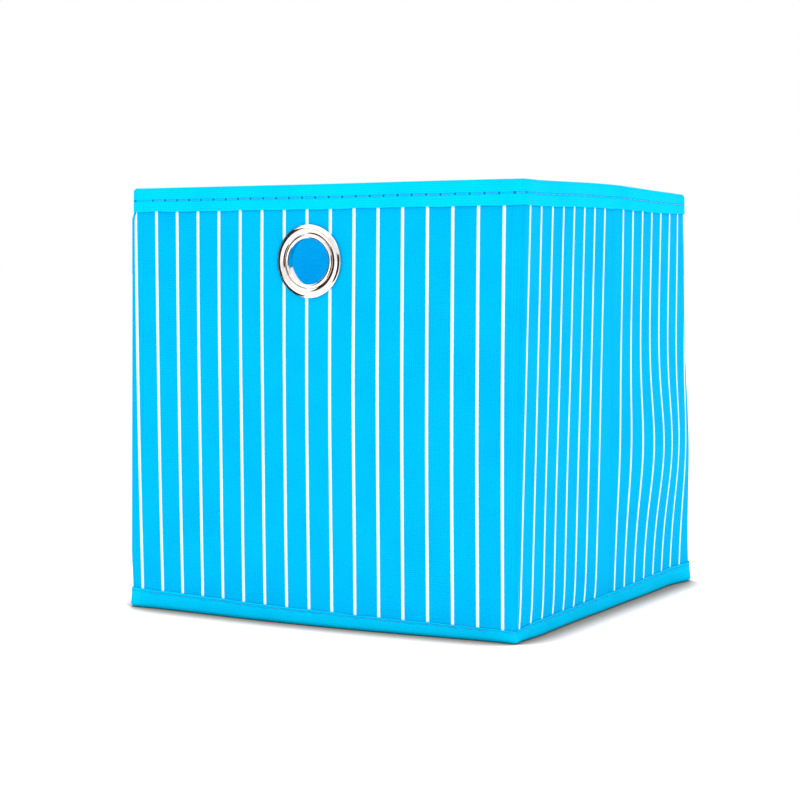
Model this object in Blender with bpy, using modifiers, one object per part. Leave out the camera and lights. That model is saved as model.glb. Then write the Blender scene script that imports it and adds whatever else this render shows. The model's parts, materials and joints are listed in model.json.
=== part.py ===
"""A folding fabric storage bin: a cube of fabric-covered boards with one metal eyelet.

Four walls of board, each with a fabric cover outside and a lining inside, are bound along
their top and bottom edges with tape. Both side walls are creased upright at mid-depth, so
that they fold inwards and the back wall closes up to the front wall. A loose board wrapped
in fabric stiffens the thin fabric base. A metal eyelet in the front wall is the finger hole.

The origin is the middle of the underside, +Z is up, and the front faces -Y.
"""

import math

import bmesh
import bpy
from mathutils import Matrix, Vector

# Outer size of the open bin.
WIDTH = 0.284
DEPTH = 0.284
HEIGHT = 0.278

# Layers of a wall, as depths from its outermost face: (outer side, inner side).
TAPE_THICKNESS = 0.0007
COVER_LAYER = (0.0010, 0.0017)
BOARD_LAYER = (0.0020, 0.0040)
LINING_LAYER = (0.0043, 0.0049)
WALL_THICKNESS = 0.0059
HINGE_DEPTH = 0.0060  # the corner hinges' depth, where walls touch when folded

# Heights of what the tapes hold.
TOP_TAPE_HEIGHT = 0.0140
BOTTOM_TAPE_HEIGHT = 0.0110
COVER_BOTTOM = 0.0058  # above the base board, so that the folding walls pass over it
BOARD_BOTTOM = 0.0120
EDGE_GAP = 0.0004  # from a layer's top edge to the tape's fold above it
BOARD_TOP_GAP = 0.0030

# Gaps along the walls.
CREASE_GAP = 0.0005  # from each half of a side wall to its crease
CORNER_GAP = 0.0004  # from a side wall to the front or back wall
BOARD_CREASE_GAP = 0.0030
FACE_BOARD_MARGIN = 0.0040  # from the front and back boards to the bin's corners

# Metal eyelet.
EYELET_X = -0.0022
EYELET_Z = 0.2300
HOLE_RADIUS = 0.0146
RING_RADIUS = 0.0230
RING_STAND = 0.0026  # how far the ring stands off the cover
RING_EDGE = 0.0003  # thickness of the ring's flat rim
BARREL_WALL = 0.0009
LIP_RADIUS = 0.0185
LIP_DEPTH = 0.0006
METAL_GAP = 0.0003
FABRIC_HOLE_RADIUS = 0.0160
WASHER_THICKNESS = 0.0007
WASHER_RADIUS = 0.0225
RING_STEPS = 48
CROWN_STEPS = 8
HOLE_STEPS = 40

# Base fabric and the loose base board.
BASE_THICKNESS = 0.0007
BASE_GAP = 0.0003
INSERT_MARGIN = 0.0012  # from the walls' inner side to the wrapped board
INSERT_BOTTOM = 0.0010
INSERT_HEIGHT = 0.0038
WRAP_THICKNESS = 0.0006
WRAP_TURN_IN = 0.0250  # width of the wrap's turned-in edge under the board
INSERT_GAP = 0.0003

BLUE = (0.0, 0.40, 0.95, 1.0)
DEEP_BLUE = (0.0, 0.27, 0.78, 1.0)
KRAFT_GREY = (0.42, 0.38, 0.32, 1.0)
NICKEL = (0.78, 0.76, 0.73, 1.0)

# Each wall's turn about +Z from the front wall, seen from outside.
WALL_TURNS = {"front": 0.0, "right": 0.5 * math.pi, "back": math.pi, "left": -0.5 * math.pi}


def clear_scene():
    for obj in list(bpy.data.objects):
        bpy.data.objects.remove(obj, do_unlink=True)


def new_collection(name):
    collection = bpy.data.collections.new(name)
    bpy.context.scene.collection.children.link(collection)
    return collection


def principled(name, color, roughness, metallic=0.0):
    """A plain Principled BSDF material."""
    material = bpy.data.materials.new(name)
    material.use_nodes = True
    shader = material.node_tree.nodes["Principled BSDF"]
    shader.inputs["Base Color"].default_value = color
    shader.inputs["Roughness"].default_value = roughness
    shader.inputs["Metallic"].default_value = metallic
    material.diffuse_color = color
    return material


def wall_matrix(wall):
    """A wall's own space: X runs to the right seen from outside, Y is depth into the wall."""
    turn = Matrix.Rotation(WALL_TURNS[wall], 4, "Z")
    reach = (DEPTH if wall in ("front", "back") else WIDTH) / 2
    return turn @ Matrix.Translation((0.0, -reach, 0.0))


def add_pivot(name, wall, along, depth, collection):
    """An empty on a body's joint axis, with its wall's directions."""
    pivot = bpy.data.objects.new(name, None)
    pivot.empty_display_size = 0.02
    pivot.matrix_world = wall_matrix(wall) @ Matrix.Translation((along, depth, 0.0))
    pivot["along"] = along
    pivot["depth"] = depth
    collection.objects.link(pivot)
    return pivot


def add_object(name, bm, pivot, material, collection):
    """An object from a bmesh made in wall space, with its origin on its pivot."""
    bmesh.ops.translate(bm, verts=bm.verts, vec=(-pivot["along"], -pivot["depth"], 0.0))
    mesh = bpy.data.meshes.new(name)
    bm.to_mesh(mesh)
    bm.free()
    mesh.materials.append(material)
    obj = bpy.data.objects.new(name, mesh)
    obj.parent = pivot
    collection.objects.link(obj)
    return obj


def box_bmesh(low, high):
    """A box between two corners."""
    low, high = Vector(low), Vector(high)
    bm = bmesh.new()
    bmesh.ops.create_cube(bm, size=1.0)
    size = high - low
    bmesh.ops.scale(bm, verts=bm.verts, vec=size)
    bmesh.ops.translate(bm, verts=bm.verts, vec=(low + high) / 2)
    return bm


def add_box(name, low, high, pivot, material, collection):
    return add_object(name, box_bmesh(low, high), pivot, material, collection)


def add_thickness(obj, thickness):
    """Solidify inwards from an open outer surface."""
    solidify = obj.modifiers.new("Thickness", "SOLIDIFY")
    solidify.thickness = thickness
    solidify.offset = -1.0
    solidify.use_even_offset = True


def add_tape(name, span, flange_z, fold_z, pivot, material, collection):
    """A binding tape folded over a wall's edge: its outer flange, fold and inner flange."""
    profile = [(0.0, flange_z), (0.0, fold_z), (WALL_THICKNESS, fold_z), (WALL_THICKNESS, flange_z)]
    bm = bmesh.new()
    rows = [[bm.verts.new((along, depth, z)) for depth, z in profile] for along in span]
    for i in range(len(profile) - 1):
        bm.faces.new((rows[0][i], rows[1][i], rows[1][i + 1], rows[0][i + 1]))
    if fold_z < flange_z:
        bmesh.ops.reverse_faces(bm, faces=bm.faces)
    obj = add_object(name, bm, pivot, material, collection)
    add_thickness(obj, TAPE_THICKNESS)


def add_panel(body, span, board_span, lining_span, pivot, materials, collection):
    """One stiff panel and its tapes. A span is the layer's two ends. Returns the three flat layers."""
    tape_bottom = HEIGHT - TAPE_THICKNESS - EDGE_GAP
    layers = (
        ("cover", span, COVER_LAYER, COVER_BOTTOM, tape_bottom),
        ("board", board_span, BOARD_LAYER, BOARD_BOTTOM, HEIGHT - BOARD_TOP_GAP),
        ("lining", lining_span, LINING_LAYER, COVER_BOTTOM, tape_bottom),
    )
    made = []
    for layer, ends, depths, bottom, top in layers:
        low = (ends[0], depths[0], bottom)
        high = (ends[1], depths[1], top)
        made.append(add_box(f"{body}_{layer}", low, high, pivot, materials[layer], collection))
    tape = materials["tape"]
    top_flange = HEIGHT - TOP_TAPE_HEIGHT
    add_tape(f"{body}_top_binding", span, top_flange, HEIGHT, pivot, tape, collection)
    add_tape(f"{body}_bottom_binding", span, BOTTOM_TAPE_HEIGHT, 0.0, pivot, tape, collection)
    return made


def cut_eyelet_hole(panels, pivot, cutters):
    """A round hole through the front wall's cover, board and lining."""
    bm = bmesh.new()
    bmesh.ops.create_cone(
        bm,
        cap_ends=True,
        segments=HOLE_STEPS,
        radius1=FABRIC_HOLE_RADIUS,
        radius2=FABRIC_HOLE_RADIUS,
        depth=4 * WALL_THICKNESS,
        matrix=Matrix.Translation((EYELET_X, 0.0, EYELET_Z)) @ Matrix.Rotation(math.pi / 2, 4, "X"),
    )
    mesh = bpy.data.meshes.new("eyelet_cutter")
    bm.to_mesh(mesh)
    bm.free()
    cutter = bpy.data.objects.new("eyelet_cutter", mesh)
    cutter.parent = pivot
    cutter.hide_render = True
    cutter.display_type = "WIRE"
    cutters.objects.link(cutter)
    for panel in panels:
        boolean = panel.modifiers.new("Eyelet hole", "BOOLEAN")
        boolean.operation = "DIFFERENCE"
        boolean.solver = "EXACT"
        boolean.object = cutter


def add_turned(name, profile, pivot, material, collection):
    """A ring turned about the eyelet's axis from a closed profile of (radius, depth) points.

    The profile runs down the ring's outer side, with -depth as the turning axis's +Z.
    """
    bm = bmesh.new()
    verts = [bm.verts.new((radius, 0.0, -depth)) for radius, depth in profile]
    for i in range(len(verts)):
        bm.edges.new((verts[i], verts[(i + 1) % len(verts)]))
    mesh = bpy.data.meshes.new(name)
    bm.to_mesh(mesh)
    bm.free()
    mesh.materials.append(material)
    obj = bpy.data.objects.new(name, mesh)
    obj.parent = pivot
    obj.location = (EYELET_X, 0.0, EYELET_Z)
    obj.rotation_euler = (math.pi / 2, 0.0, 0.0)
    collection.objects.link(obj)
    screw = obj.modifiers.new("Turned", "SCREW")
    screw.axis = "Z"
    screw.steps = RING_STEPS
    screw.render_steps = RING_STEPS
    screw.use_merge_vertices = True
    screw.merge_threshold = 0.00001
    screw.use_smooth_shade = True


def ring_profile():
    """The eyelet's domed front ring, barrel and rolled lip as one closed outline."""
    seat = COVER_LAYER[0] - METAL_GAP
    rim = seat - RING_EDGE
    stand = rim - (COVER_LAYER[0] - RING_STAND)
    middle = (HOLE_RADIUS + RING_RADIUS) / 2
    half_width = (RING_RADIUS - HOLE_RADIUS) / 2
    crown = []
    for i in range(1, CROWN_STEPS):
        angle = math.pi * i / CROWN_STEPS
        crown.append((middle - half_width * math.cos(angle), rim - stand * math.sin(angle)))
    barrel = HOLE_RADIUS + BARREL_WALL
    lip_top = washer_depths()[1] + METAL_GAP
    lip_back = lip_top + LIP_DEPTH
    return [
        *crown,
        (RING_RADIUS, rim),
        (RING_RADIUS, seat),
        (barrel, seat),
        (barrel, lip_top),
        (LIP_RADIUS, lip_top),
        (LIP_RADIUS, lip_back),
        (HOLE_RADIUS, lip_back),
        (HOLE_RADIUS, rim),
    ]


def washer_depths():
    """Depths of the flat washer behind the lining."""
    near = LINING_LAYER[1] + METAL_GAP
    return near, near + WASHER_THICKNESS


def add_eyelet(pivot, material, collection):
    add_turned("eyelet_ring", ring_profile(), pivot, material, collection)
    near, far = washer_depths()
    washer = [
        (WASHER_RADIUS, near),
        (WASHER_RADIUS, far),
        (FABRIC_HOLE_RADIUS, far),
        (FABRIC_HOLE_RADIUS, near),
    ]
    add_turned("eyelet_washer", washer, pivot, material, collection)


def face_spans():
    """The ends of the cover, board and lining of the front and back walls."""
    half = WIDTH / 2
    board = half - FACE_BOARD_MARGIN
    lining = half - WALL_THICKNESS
    return (-half, half), (-board, board), (-lining, lining)


def add_front(materials, parts, cutters):
    pivot = add_pivot("front_frame", "front", 0.0, 0.0, parts)
    panels = add_panel("front", *face_spans(), pivot, materials, parts)
    cut_eyelet_hole(panels, pivot, cutters)
    add_eyelet(pivot, materials["metal"], parts)


def add_back(materials, parts):
    """The back wall turns on its left rear corner."""
    corner = WIDTH / 2 - HINGE_DEPTH
    pivot = add_pivot("back_pivot", "back", corner, HINGE_DEPTH, parts)
    add_panel("back", *face_spans(), pivot, materials, parts)


def add_side(wall, materials, parts):
    """A side wall's halves: the front half turns on the front corner, the rear half on the crease."""
    reach = DEPTH / 2 - HINGE_DEPTH
    corner = reach - CORNER_GAP
    front_sign = -1.0 if wall == "right" else 1.0
    halves = (
        ("front", front_sign, front_sign * reach, HINGE_DEPTH),
        ("rear", -front_sign, 0.0, 0.0),
    )
    for half, sign, along, depth in halves:
        pivot = add_pivot(f"{wall}_{half}_pivot", wall, along, depth, parts)
        span = sorted((sign * CREASE_GAP, sign * corner))
        board_span = sorted((sign * BOARD_CREASE_GAP, sign * corner))
        add_panel(f"{wall}_{half}", span, board_span, span, pivot, materials, parts)


def add_base(materials, parts):
    """The thin fabric base, sewn in between the walls."""
    pivot = bpy.data.objects["front_frame"]
    inset = WALL_THICKNESS + BASE_GAP
    low = (inset - WIDTH / 2, inset, 0.0)
    high = (WIDTH / 2 - inset, DEPTH - inset, BASE_THICKNESS)
    add_box("base_fabric", low, high, pivot, materials["lining"], parts)


def add_insert(materials, parts):
    """The loose base board and its fabric wrap, which is open in the middle underneath."""
    pivot = add_pivot("insert_frame", "front", 0.0, DEPTH / 2, parts)
    inset = WALL_THICKNESS + INSERT_MARGIN
    low = Vector((inset - WIDTH / 2, inset, INSERT_BOTTOM))
    high = Vector((WIDTH / 2 - inset, DEPTH - inset, INSERT_BOTTOM + INSERT_HEIGHT))
    bm = box_bmesh(low, high)
    underside = min(bm.faces, key=lambda face: face.calc_center_median().z)
    bmesh.ops.inset_region(bm, faces=[underside], thickness=WRAP_TURN_IN)
    bmesh.ops.delete(bm, geom=[underside], context="FACES_ONLY")
    wrap = add_object("insert_cover", bm, pivot, materials["lining"], parts)
    add_thickness(wrap, WRAP_THICKNESS)
    shrink = Vector((1.0, 1.0, 1.0)) * (WRAP_THICKNESS + INSERT_GAP)
    add_box("insert_board", low + shrink, high - shrink, pivot, materials["board"], parts)


def main():
    clear_scene()
    parts = new_collection("fabric_storage_bin")
    cutters = new_collection("cutters")
    materials = {
        "cover": principled("striped cover", BLUE, 0.85),
        "tape": principled("binding tape", BLUE, 0.85),
        "lining": principled("plain lining", DEEP_BLUE, 0.9),
        "board": principled("grey board", KRAFT_GREY, 0.95),
        "metal": principled("nickel plate", NICKEL, 0.18, metallic=1.0),
    }
    add_front(materials, parts, cutters)
    add_back(materials, parts)
    for wall in ("left", "right"):
        add_side(wall, materials, parts)
    add_base(materials, parts)
    add_insert(materials, parts)


main()
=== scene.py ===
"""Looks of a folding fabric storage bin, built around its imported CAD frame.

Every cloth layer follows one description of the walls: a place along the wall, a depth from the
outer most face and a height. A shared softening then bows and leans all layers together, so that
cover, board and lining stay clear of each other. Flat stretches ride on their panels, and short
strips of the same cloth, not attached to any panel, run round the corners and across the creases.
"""

import json
import math

import bmesh
import bpy
import numpy as np
from mathutils import Matrix, Vector


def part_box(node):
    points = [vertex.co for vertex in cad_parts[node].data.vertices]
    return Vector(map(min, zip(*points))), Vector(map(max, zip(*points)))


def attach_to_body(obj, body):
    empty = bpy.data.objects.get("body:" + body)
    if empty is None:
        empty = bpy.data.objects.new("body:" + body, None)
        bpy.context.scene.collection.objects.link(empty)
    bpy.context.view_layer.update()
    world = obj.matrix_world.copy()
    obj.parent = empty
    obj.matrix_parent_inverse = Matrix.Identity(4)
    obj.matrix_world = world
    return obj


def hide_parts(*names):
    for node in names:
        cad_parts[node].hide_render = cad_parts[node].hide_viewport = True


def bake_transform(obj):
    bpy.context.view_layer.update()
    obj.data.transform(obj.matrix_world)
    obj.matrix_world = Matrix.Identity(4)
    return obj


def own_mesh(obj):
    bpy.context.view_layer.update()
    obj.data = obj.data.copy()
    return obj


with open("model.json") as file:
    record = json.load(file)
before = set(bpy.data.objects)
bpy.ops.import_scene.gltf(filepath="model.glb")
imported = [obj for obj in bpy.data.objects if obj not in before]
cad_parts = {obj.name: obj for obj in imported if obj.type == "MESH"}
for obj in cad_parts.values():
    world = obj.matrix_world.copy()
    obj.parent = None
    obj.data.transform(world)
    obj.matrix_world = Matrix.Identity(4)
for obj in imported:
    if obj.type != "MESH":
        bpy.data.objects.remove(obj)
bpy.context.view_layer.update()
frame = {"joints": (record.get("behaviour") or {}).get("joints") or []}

MM = 0.001

# Outer size and layers of the walls, from the frame.
TAPE_LOW, TAPE_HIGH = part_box("front_top_binding")
HALF = TAPE_HIGH.x
HEIGHT = TAPE_HIGH.z
WALL_THICKNESS = TAPE_HIGH.y - TAPE_LOW.y
TOP_TAPE_LOW = TAPE_LOW.z
BOTTOM_TAPE_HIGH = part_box("front_bottom_binding")[1].z
COVER_DEPTHS = [corner.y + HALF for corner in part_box("front_cover")]
BOARD_DEPTHS = [corner.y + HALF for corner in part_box("front_board")]
LINING_DEPTHS = [corner.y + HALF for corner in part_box("front_lining")]
CLOTH_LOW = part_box("front_cover")[0].z
BOARD_LOW, BOARD_HIGH = (corner.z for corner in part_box("front_board"))
JOINTS = {joint["name"]: joint for joint in frame["joints"]}
TAPE_THICKNESS = 0.7 * MM
CLOTH_TOP = HEIGHT - 4.0 * MM  # cover and lining end inside the top tape

# Corners and creases.
CORNER_REACH = 9.0 * MM  # from a corner to the end of its bending strip
CORNER_ROUND = 3.0 * MM
TIGHTEST_ROUND = 0.35 * MM
CORNER_BEND = 4.2 * MM  # half the width, across the corner, over which a strip turns
CREASE_REACH = 8.0 * MM
CREASE_BEND = 6.0 * MM

STRAIGHT_SHARE = 0.25  # of a corner strip, at each end of its bend
TURNING_SHARES = (0.24, 0.76)  # between these a corner strip turns, and has no stripe

# How far a crease pulls a layer towards the wall's middle, and over what width.
COVER_GROOVE = 0.5 * MM
COVER_GROOVE_WIDTH = 2.2 * MM
LINING_GROOVE = 1.9 * MM
LINING_GROOVE_WIDTH = 3.4 * MM

# Softening of the flat walls.
FRONT_BOW = 4.5 * MM  # at the top
BOW_GROWTH = 0.38  # more bow at the bottom
BACK_BOW = 3.5 * MM
SIDE_BOW = (-0.9 * MM, 0.2 * MM)  # of the front half, at the bottom and at the top
REAR_SIDE_BOW = (0.5 * MM, 0.2 * MM)
LEAN = 2.7 * MM  # sideways, at the top and bottom of the front
REAR_LEAN = -1.22  # of the front's lean
REAR_SPREAD = 0.5 * MM
LEFT_PULL = 1.3 * MM  # how far the front left corner stands further out at the top
CORNER_SLACK = (1.8 * MM, 2.4 * MM)  # how far the cover stands out at the front left corner, low and high
SLACK_REACH = 16.0 * MM
LEAN_REACH = 30.0 * MM  # how far along a side wall the corner's lean fades out
LEFT_PULL_FADE = (40.0 * MM, 10.0 * MM)  # from the front, where that pull begins and is full
WALL_FADE = 12.0 * MM  # how far in from a wall its own softening fades out
WAVE = 0.35 * MM
WAVES = ((31.0, 17.0, 23.0, 0.7), (19.0, -37.0, 41.0, 2.1), (53.0, 43.0, -29.0, 4.4))
PUCKER = 6.0 * MM
PUCKER_CENTRE = (84.0 * MM, 100.0 * MM)
PUCKER_SIZE = (54.0 * MM, 46.0 * MM)
RIM_LIFT = 1.6 * MM  # how far the right side's top edge stands higher
RIM_FRONT_GAIN = 0.45
RIM_REAR_LOSS = 0.85
CORNER_FLARE = 1.1 * MM
FLARE_ALONG = 0.6  # of the sideways flare, from front to rear
FLARE_HEIGHT = 9.0 * MM
FLARE_REACH = 14.0 * MM
HINGE_INSET = 6.0 * MM

# Stripes.
STRIPE_WIDTH = 2.0 * MM
FRONT_LAST_STRIPE = 130.4 * MM
FRONT_STRIPES = 17
SIDE_STRIPES = 8
FRONT_PITCH = (16.57 * MM, 16.80 * MM)  # at the bottom and at the top
SIDE_FRONT_FIRST = -127.3 * MM
SIDE_FRONT_PITCH = 16.6 * MM
SIDE_REAR_FIRST = 20.0 * MM
SIDE_REAR_PITCH = 17.0 * MM
SIDE_SLANT = 12.0 * MM  # how far the side's stripes run forward from top to bottom
SLANT_TURN = 1.85  # lean seen as slant
HOOK = 1.8 * MM  # how far the stripes' lower ends turn forward just above the bottom tape
HOOK_HEIGHT = 6.0 * MM

EMBOSS_PITCH = 1.9 * MM

# Sewing.
STITCH = 9.6 * MM
STITCH_GAP = 1.2 * MM
THREAD = 0.24 * MM
THREAD_SIDES = 6
STITCH_DIP = 0.62 * MM  # how deep a stitch's ends sink into the tape
STITCH_RISE = 0.10 * MM  # how far its middle stands out
TOP_STITCH_HEIGHT = HEIGHT - 7.6 * MM
BOTTOM_STITCH_HEIGHT = 9.3 * MM
TAPE_ROUNDING = {True: 2.5 * MM, False: 2.8 * MM}  # where a tape turns over the top or bottom edge
# How far each tape reaches, by the place along the walls from the middle of the front.
TOP_TAPE_REACH = {place * HALF: 15.7 * MM for place in (-1, 1, 2.3, 6, 7)}
TOP_TAPE_REACH.update({place * HALF: 14.2 * MM for place in (3, 5)})
UNEVEN_TAPE = 0.35 * MM
UNEVEN_WAVES = ((71.0, 1.0), (163.0, 0.0), (290.0, 2.0))
BOTTOM_TAPE_REACH = {
    -HALF: 13.0 * MM,
    0.0: 10.4 * MM,
    HALF: 7.8 * MM,
    HALF + 25 * MM: 10.4 * MM,
    2 * HALF: 11.0 * MM,
    3 * HALF: 14.0 * MM,
    4 * HALF: 12.0 * MM,
    6 * HALF: 12.0 * MM,
}

# Eyelet.
EYELET_LOW, EYELET_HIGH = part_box("eyelet_ring")
EYELET_X = (EYELET_LOW.x + EYELET_HIGH.x) / 2
EYELET_Z = (EYELET_LOW.z + EYELET_HIGH.z) / 2
RING_RADIUS = (EYELET_HIGH.x - EYELET_LOW.x) / 2
RING_FRONT = EYELET_LOW.y + HALF
RING_BACK = EYELET_HIGH.y + HALF
FABRIC_HOLE = 16.0 * MM
HOLE_RADIUS = 14.6 * MM
GROOVE_RADIUS = HOLE_RADIUS + 2.6 * MM
DOME_RISE = 1.0 * MM
LIP_RADIUS = 1.4 * MM

# Base, insert and the sleeve in the opened corner.
BASE_RISES = np.array([4.5, 3.0, 1.5]) * MM  # the base fabric's turned-up edge
BASE_CELLS = 48
INSERT_MARGIN = 4.0 * MM
INSERT_ROUNDING = 1.2 * MM
INSERT_CORNER = 4.0 * MM
WRAP_THICKNESS = 0.5 * MM
WRAP_TURN_IN = 28.0 * MM
SLEEVE_RADII = (4.0 * MM, 3.5 * MM)

# Camera, lights and the dark cards: angles in degrees.
CAMERA_ANGLES = (28.42, 3.884)
CAMERA_TARGET = (-0.01673, 0.0, 0.13391)
CAMERA_DISTANCE = 1.3855
CAMERA_LENS = 89.54
LIGHTS = (  # name, azimuth, elevation, power, spread
    ("key", 58.0, 48.0, 0.75, 40.0),
    ("fill", -30.0, 50.0, 0.45, 60.0),
)
FLAGS = (  # name, azimuth, elevation, distance, half its width and height as seen
    ("left_flag", -76.0, 2.0, 1.5, 37.0, 34.0),
    ("lower_left_flag", -84.0, -30.0, 0.19, 28.0, 22.0),
    ("right_flag", 31.0, -13.0, 0.3, 15.0, 25.0),
)

# Colours.
BLUE = (0.0, 0.435, 0.80, 1.0)
BLUE_PIT = (0.0, 0.29, 0.60, 1.0)
TAPE_BLUE = (0.0, 0.58, 0.95, 1.0)
TAPE_PIT = (0.0, 0.36, 0.66, 1.0)
LOW_TAPE_BLUE = (0.0, 0.55, 0.90, 1.0)
LINING_BLUE = (0.0, 0.60, 1.0, 1.0)
LINING_PIT = (0.0, 0.44, 0.90, 1.0)
STRIPE_WHITE = (0.74, 0.90, 0.94, 1.0)
STRIPE_PIT = (0.55, 0.76, 0.86, 1.0)
# Painted shade in the tapes' needle holes.
NEEDLE_HOLE_SHADE = (0.0, 0.09, 0.22, 1.0)
THREAD_DARK = (0.0, 0.28, 0.66, 1.0)
THREAD_LIGHT = (0.0, 0.42, 0.86, 1.0)
NICKEL = (0.90, 0.865, 0.845, 1.0)
NICKEL_HAZE = (0.80, 0.74, 0.70, 1.0)
# Painted shade for the eyelet's groove and for the inside of its barrel.
NICKEL_GROOVE_SHADE = (0.16, 0.105, 0.075, 1.0)
NICKEL_BARREL_SHADE = (0.10, 0.13, 0.18, 1.0)
BOARD_DARK = (0.36, 0.32, 0.26, 1.0)
BOARD_LIGHT = (0.50, 0.46, 0.39, 1.0)
BOARD_CLOUD = (0.30, 0.27, 0.23, 1.0)
FLAG_DARK = (0.03, 0.018, 0.012, 1.0)
FLOOR_SHADE = (0.37, 0.286, 0.238, 1.0)
FLOOR_PALE = (0.90, 0.81, 0.76, 1.0)
FLOOR_GLOW = (1.0, 0.985, 0.97, 1.0)

WALLS = ("front", "right", "back", "left")


def smooth(value):
    value = np.clip(value, 0.0, 1.0)
    return value * value * (3.0 - 2.0 * value)


# ---- shape of the walls


def on_wall(wall, along, depth):
    """Plan position on a wall: along it to the right seen from outside, and in from its face."""
    reach = HALF - depth
    if wall == "front":
        return along, -reach
    if wall == "right":
        return reach, along
    if wall == "back":
        return -along, reach
    return -reach, -along


def round_corner(wall, share, depth):
    """Plan position round the corner at a wall's right end, from share 0 to 1."""
    radius = np.maximum(TIGHTEST_ROUND, CORNER_ROUND - depth)
    straight = CORNER_REACH - radius
    if share < STRAIGHT_SHARE:
        along = HALF - depth - CORNER_REACH + straight * share / STRAIGHT_SHARE
        inward = depth
    elif share > 1 - STRAIGHT_SHARE:
        along = HALF - depth
        inward = depth + radius + straight * (share - (1 - STRAIGHT_SHARE)) / STRAIGHT_SHARE
    else:
        angle = (share - STRAIGHT_SHARE) / (1 - 2 * STRAIGHT_SHARE) * math.pi / 2
        along = HALF - depth - radius + radius * math.sin(angle)
        inward = depth + radius - radius * math.cos(angle)
    return on_wall(wall, along, inward)


def fade(value, start, end):
    """0 up to start and 1 from end on."""
    return smooth((value - start) / (end - start))


def lean_at(y, z):
    """Sideways lean of the walls at the front and rear corners."""
    turn = LEAN * (2.0 * z / HEIGHT - 1.0)
    inset = HALF - HINGE_INSET
    front = 1.0 - fade(y, -inset, -inset + LEAN_REACH)
    rear = fade(y, inset - LEAN_REACH, inset)
    return turn * (front + REAR_LEAN * rear)


def lift_at(x, y):
    """How far the top edge stands higher towards the middle of the right wall."""
    along_side = 1.0 + RIM_FRONT_GAIN * np.cos(math.pi * np.clip(y / HALF, -1, 1))
    rear = 1.0 - RIM_REAR_LOSS * fade(y, 0.0, HALF)
    return RIM_LIFT * fade(x, -0.2 * HALF, HALF) * along_side * rear


def slack_at(x, y, z):
    """Where the cover stands out round the front left corner, between its two tapes."""
    near = np.exp(-(((x + HALF) / SLACK_REACH) ** 2) - ((y + HALF) / SLACK_REACH) ** 2)
    between = fade(z, 6 * MM, 40 * MM) * (1.0 - fade(z, TOP_TAPE_LOW - 6 * MM, TOP_TAPE_LOW + 1 * MM))
    slack = CORNER_SLACK[0] + (CORNER_SLACK[1] - CORNER_SLACK[0]) * z / HEIGHT
    return slack * near * between


def waves(x, y, z):
    """Small slow unevenness of the cloth-covered boards."""
    return sum(np.sin(a * x + b * y + c * z + start) for a, b, c, start in WAVES) / 3.0


def pucker_at(y, z):
    """Where the cover stands off the rear half of the right wall."""
    across = (y - PUCKER_CENTRE[0]) / PUCKER_SIZE[0]
    upward = (z - PUCKER_CENTRE[1]) / PUCKER_SIZE[1]
    return PUCKER * np.exp(-across * across - upward * upward)


def softened(x, y, z, slack=False):
    """Moves ideal wall positions to where the soft bin has them."""
    x, y, z = (np.asarray(value, float) for value in np.broadcast_arrays(x, y, z))
    edge = HALF - WALL_THICKNESS
    near_front, near_back, near_right, near_left = (
        fade(value, edge - WALL_FADE, edge) for value in (-y, y, x, -x)
    )
    across = np.clip(x / HALF, -1, 1)
    bow = (1 - across**2) ** 2 * (1.0 + BOW_GROWTH * (1.0 - z / HEIGHT))
    reach = HALF - HINGE_INSET
    lobe = np.where(np.abs(y) < reach, np.sin(math.pi * y / reach) ** 2, 0.0)
    wave = WAVE * waves(x, y, z) * np.clip(1 - across**2, 0, 1)
    side_wave = WAVE * waves(x, y, z) * lobe
    dy = -(FRONT_BOW * bow + wave) * near_front + (BACK_BOW * bow + wave) * near_back
    low_bow = np.where(y < 0, SIDE_BOW[0], REAR_SIDE_BOW[0])
    high_bow = np.where(y < 0, SIDE_BOW[1], REAR_SIDE_BOW[1])
    side_bow = low_bow + (high_bow - low_bow) * z / HEIGHT
    dx = (side_bow * lobe + side_wave) * (near_right - near_left) + lean_at(y, z)
    corner_x = np.exp(-((HALF - np.abs(x)) / FLARE_REACH) ** 2)
    corner_y = np.exp(-((HALF - np.abs(y)) / FLARE_REACH) ** 2)
    flare = CORNER_FLARE * corner_x * corner_y * np.exp(-z / FLARE_HEIGHT)
    dx = dx + np.sign(x) * flare
    dy = dy + np.sign(y) * flare * FLARE_ALONG
    dx = dx + np.sign(x) * REAR_SPREAD * corner_x * fade(y, 0.5 * HALF, HALF)
    pull_start, pull_full = (HALF - distance for distance in LEFT_PULL_FADE)
    dx = dx - LEFT_PULL * fade(-x, 0.0, HALF) * fade(-y, pull_start, pull_full) * z / HEIGHT
    if slack:
        dx = dx + pucker_at(y, z) * near_right - slack_at(x, y, z)
    dz = lift_at(x, y) * fade(z, 0.6 * HEIGHT, HEIGHT)
    return np.stack([x + dx, y + dy, z + dz], axis=-1)


# ---- stretches of cloth


def corner_edge(depth):
    return HALF - depth - CORNER_REACH


def crease_edge(depth):
    return CREASE_REACH + 0.0 * depth


def wall_stations(wall, left, right, step):
    """Stations along a wall between two edges, which may lie at different places at each depth."""
    middle = WALL_THICKNESS / 2
    count = max(2, round((right(middle) - left(middle)) / step))
    base = WALLS.index(wall) * 2 * HALF
    made = []
    for i in range(count + 1):
        share = i / count

        def place(depth, share=share):
            along = left(depth) + (right(depth) - left(depth)) * share
            return on_wall(wall, along, depth)

        made.append((place, base + left(0.0) + (right(0.0) - left(0.0)) * share, False))
    return made


def corner_stations(wall, first=0.0, last=1.0):
    """Stations round the corner at a wall's right end."""
    base = WALLS.index(wall) * 2 * HALF + HALF - CORNER_REACH
    shares = [share for share in np.linspace(0.0, 1.0, 21) if first - 1e-9 <= share <= last + 1e-9]
    made = []
    for share in shares:

        def place(depth, share=share):
            return round_corner(wall, share, depth)

        turning = TURNING_SHARES[0] < share < TURNING_SHARES[1]
        made.append((place, base + 2 * CORNER_REACH * share, turning))
    return made


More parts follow.
